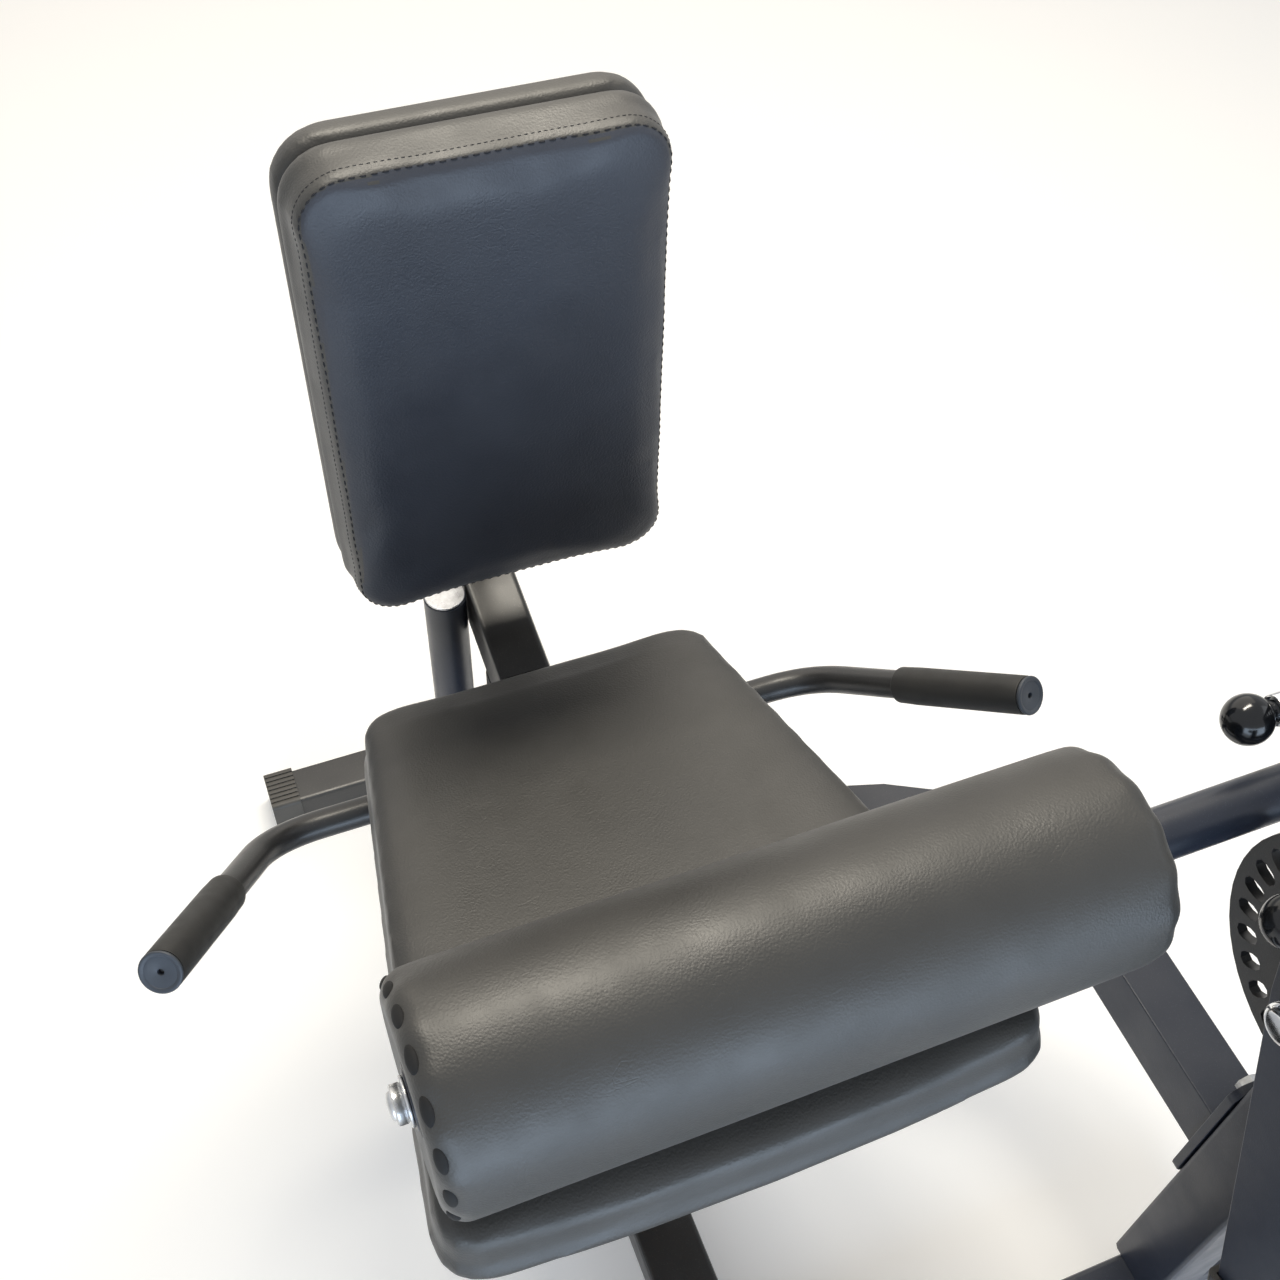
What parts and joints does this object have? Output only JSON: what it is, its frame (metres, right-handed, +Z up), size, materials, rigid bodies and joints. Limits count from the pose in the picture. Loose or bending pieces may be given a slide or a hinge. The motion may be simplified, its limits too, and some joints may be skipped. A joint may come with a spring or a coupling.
{
  "type": "seated leg extension and curl machine",
  "caption": "Plate-loaded seated leg machine with padded seat and back, thigh roller, slotted range disc, leg lever with shin roller, side grips and pull pins.",
  "frame": {"origin": "on the floor, at the middle of the machine's footprint box", "axes": "+Z up; +Y towards the back rest, so the user sits facing -Y; +X towards the user's left, the leg mechanism's side"},
  "size_m": [1.079, 1.0096, 0.9778],
  "materials": {
    "frame_paint": "satin black powder coat",
    "black_vinyl": "black leather-look vinyl with fine grain",
    "grip_rubber": "matt black rubber",
    "black_plastic": "moulded black plastic",
    "knob_gloss": "polished black ball knob",
    "zinc": "bright zinc plate",
    "chrome": "polished chrome",
    "bare_steel": "turned steel",
    "plywood": "bare plywood"
  },
  "bodies": {
    "frame": {"rear_cross_tube": "frame_paint", "front_cross_tube": "frame_paint", "base_spine": "frame_paint", "foot_cap_rear_left": "black_plastic", "foot_cap_rear_right": "black_plastic", "foot_cap_front_left": "black_plastic", "foot_cap_front_right": "black_plastic", "seat_pad": "black_vinyl", "seat_board": "plywood", "seat_rail": "frame_paint", "seat_rail_plug": "black_plastic", "seat_post": "frame_paint", "rear_beam": "frame_paint", "rear_beam_plug": "black_plastic", "rear_leg": "frame_paint", "round_peg": "frame_paint", "round_peg_cap": "zinc", "handle_left": "frame_paint", "grip_left": "grip_rubber", "grip_cap_left": "black_plastic", "handle_right": "frame_paint", "grip_right": "grip_rubber", "grip_cap_right": "black_plastic", "main_post": "frame_paint", "pivot_housing": "frame_paint", "bearing_inner": "bare_steel", "bearing_outer": "bare_steel", "side_arm": "frame_paint", "arm_flange": "frame_paint", "flange_bolt_upper": "zinc", "flange_bolt_lower": "zinc", "quadrant_plate": "frame_paint"},
    "back_carriage": {"carriage_sleeve": "frame_paint", "back_upright": "frame_paint", "back_board": "black_vinyl", "back_pad": "black_vinyl"},
    "carriage_pin": {"carriage_pin": "knob_gloss"},
    "thigh_arm": {"thigh_arm_plate": "frame_paint", "thigh_shaft": "frame_paint", "thigh_end_nut": "zinc", "thigh_shaft_collar": "black_plastic", "thigh_pin_barrel": "chrome"},
    "thigh_pin": {"thigh_pin": "knob_gloss"},
    "thigh_roller": {"thigh_roller_core": "black_plastic", "thigh_roller_pad": "black_vinyl"},
    "drive": {"drive_axle": "bare_steel", "axle_hub_cap": "chrome", "rom_disc": "frame_paint", "weight_arm": "frame_paint", "weight_horn": "chrome", "weight_horn_cap": "black_plastic", "axle_nut": "zinc"},
    "leg_lever": {"leg_lever": "frame_paint", "leg_lever_plug": "black_plastic", "lever_pin_barrel": "chrome"},
    "lever_pin": {"lever_pin": "knob_gloss"},
    "shin_carriage": {"shin_carriage": "frame_paint", "shin_end_nut": "zinc"},
    "shin_roller": {"shin_roller_pad": "black_vinyl"}
  },
  "joints": [
    {"name": "back_slide", "type": "slide", "parent": "frame", "child": "back_carriage", "axis": [0, 0.9744, 0.225], "range_m": [0, 0.06]},
    {"name": "carriage_pin_pull", "type": "slide", "parent": "back_carriage", "child": "carriage_pin", "axis": [1, 0, 0], "range_m": [0, 0.012], "stiffness_N_per_m": 600, "springref_m": -0.01},
    {"name": "thigh_arm_tilt", "type": "hinge", "parent": "frame", "child": "thigh_arm", "pos_m": [-0.17914, -0.32618, 0.618], "axis": [1, 0, 0], "range_deg": [0, 42]},
    {"name": "thigh_pin_pull", "type": "slide", "parent": "thigh_arm", "child": "thigh_pin", "axis": [-1, 0, 0], "range_m": [0, 0.012], "stiffness_N_per_m": 600, "springref_m": -0.01},
    {"name": "thigh_roller_spin", "type": "hinge", "parent": "thigh_arm", "child": "thigh_roller", "pos_m": [-0.14514, -0.19018, 0.661], "axis": [1, 0, 0], "continuous": true},
    {"name": "drive_swing", "type": "hinge", "parent": "frame", "child": "drive", "pos_m": [-0.17914, -0.32618, 0.618], "axis": [1, 0, 0], "range_deg": [-80, 50]},
    {"name": "lever_index", "type": "hinge", "parent": "drive", "child": "leg_lever", "pos_m": [-0.17914, -0.32618, 0.618], "axis": [1, 0, 0], "range_deg": [-77.14, 0]},
    {"name": "lever_pin_pull", "type": "slide", "parent": "leg_lever", "child": "lever_pin", "axis": [-1, 0, 0], "range_m": [0, 0.012], "stiffness_N_per_m": 600, "springref_m": -0.01},
    {"name": "shin_slide", "type": "slide", "parent": "leg_lever", "child": "shin_carriage", "axis": [0, -0.3355, -0.9421], "range_m": [-0.1, 0.035]},
    {"name": "shin_roller_spin", "type": "hinge", "parent": "shin_carriage", "child": "shin_roller", "pos_m": [-0.17914, -0.44694, 0.27886], "axis": [1, 0, 0], "continuous": true}
  ]
}
